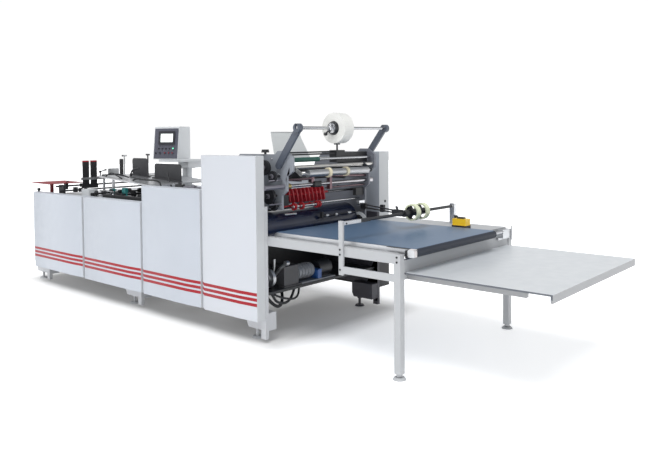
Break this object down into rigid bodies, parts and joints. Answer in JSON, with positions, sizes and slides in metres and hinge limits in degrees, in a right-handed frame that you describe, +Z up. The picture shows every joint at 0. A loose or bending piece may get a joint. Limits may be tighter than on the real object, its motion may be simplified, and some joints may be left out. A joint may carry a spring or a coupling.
{
  "type": "window patching machine",
  "caption": "Carton window patching line: feeder, covered transport and gluing sections, patching tower with film unwind, delivery belt and collecting table.",
  "frame": {"origin": "middle of the footprint's bounding box, on the floor", "axes": "+X along the line from the feeder to the collecting table, +Y from the operator side seen in the picture to the far side, +Z up"},
  "size_m": [5.4656, 1.55, 1.602],
  "materials": {
    "cover_paint": "satin powder coat",
    "frame_paint": "satin paint",
    "dark_paint": "matt black",
    "white_paint": "satin paint",
    "aluminium": "anodised",
    "bright_steel": "polished",
    "navy_lacquer": "gloss",
    "belt": "matt woven face",
    "red_paint": "gloss",
    "green_rubber": "ground",
    "film": "wound film",
    "tape": "moulded",
    "yellow_plastic": "moulded"
  },
  "bodies": {
    "machine_frame": {"near_feeder_cover": "cover_paint", "near_transport_cover": "cover_paint", "near_gluing_cover": "cover_paint", "near_tower_cover": "cover_paint", "far_feeder_cover": "cover_paint", "far_transport_cover": "cover_paint", "far_gluing_cover": "cover_paint", "far_tower_cover": "cover_paint", "near_side_frame": "frame_paint", "far_side_frame": "frame_paint", "feeder_end_panel": "cover_paint", "tower_bulkhead": "dark_paint", "feeder_bed": "frame_paint", "transport_bed": "dark_paint", "transport_wheels": "dark_paint", "gluing_drum": "bright_steel", "tower_bed": "dark_paint", "motor_shelf": "dark_paint", "feed_tray": "red_paint", "pile_stops": "dark_paint", "feed_bar": "aluminium", "feeder_shafts": "dark_paint", "gauge_block": "white_paint", "feed_table": "aluminium", "side_guide": "dark_paint", "long_side_guide": "dark_paint", "control_pedestal": "white_paint", "control_console": "white_paint", "console_panel": "dark_paint", "near_tower_plate": "frame_paint", "far_tower_plate": "frame_paint", "near_unwind_arm": "frame_paint", "far_unwind_arm": "frame_paint", "green_roller": "green_rubber", "ring_roller_carrier": "bright_steel", "web_rods": "dark_paint", "brake_unit": "dark_paint", "drive_pulley": "aluminium", "end_shield": "white_paint", "clamp_shaft": "bright_steel", "separator_fins": "red_paint", "press_wheels": "bright_steel", "film_chute": "cover_paint", "drive_gearmotor": "frame_paint", "near_rail": "aluminium", "far_rail": "aluminium", "conveyor_belt": "belt", "conveyor_bed": "aluminium", "delivery_frame": "aluminium", "guard_frame": "aluminium", "cross_bar": "aluminium", "reel_arm": "dark_paint", "stop_box": "yellow_plastic", "collecting_table": "cover_paint"},
    "film_spool": {"unwind_shaft": "bright_steel", "film_roll": "film"},
    "guide_roller": {"ring_roller": "aluminium"},
    "patching_drum": {"patching_cylinder": "navy_lacquer"},
    "tape_spool": {"tape_reels": "tape"}
  },
  "joints": [
    {"name": "film_spool_spin", "type": "hinge", "parent": "machine_frame", "child": "film_spool", "pos_m": [0.89475, -0.142, 1.49], "axis": [0, 1, 0], "continuous": true},
    {"name": "guide_roller_spin", "type": "hinge", "parent": "machine_frame", "child": "guide_roller", "pos_m": [0.86975, -0.055, 1.168], "axis": [0, 1, 0], "continuous": true},
    {"name": "patching_drum_spin", "type": "hinge", "parent": "machine_frame", "child": "patching_drum", "pos_m": [0.57976, -0.10485, 0.77], "axis": [0, 1, 0], "continuous": true},
    {"name": "tape_spool_spin", "type": "hinge", "parent": "machine_frame", "child": "tape_spool", "pos_m": [1.39725, 0.11, 0.885], "axis": [0, 1, 0], "continuous": true}
  ]
}
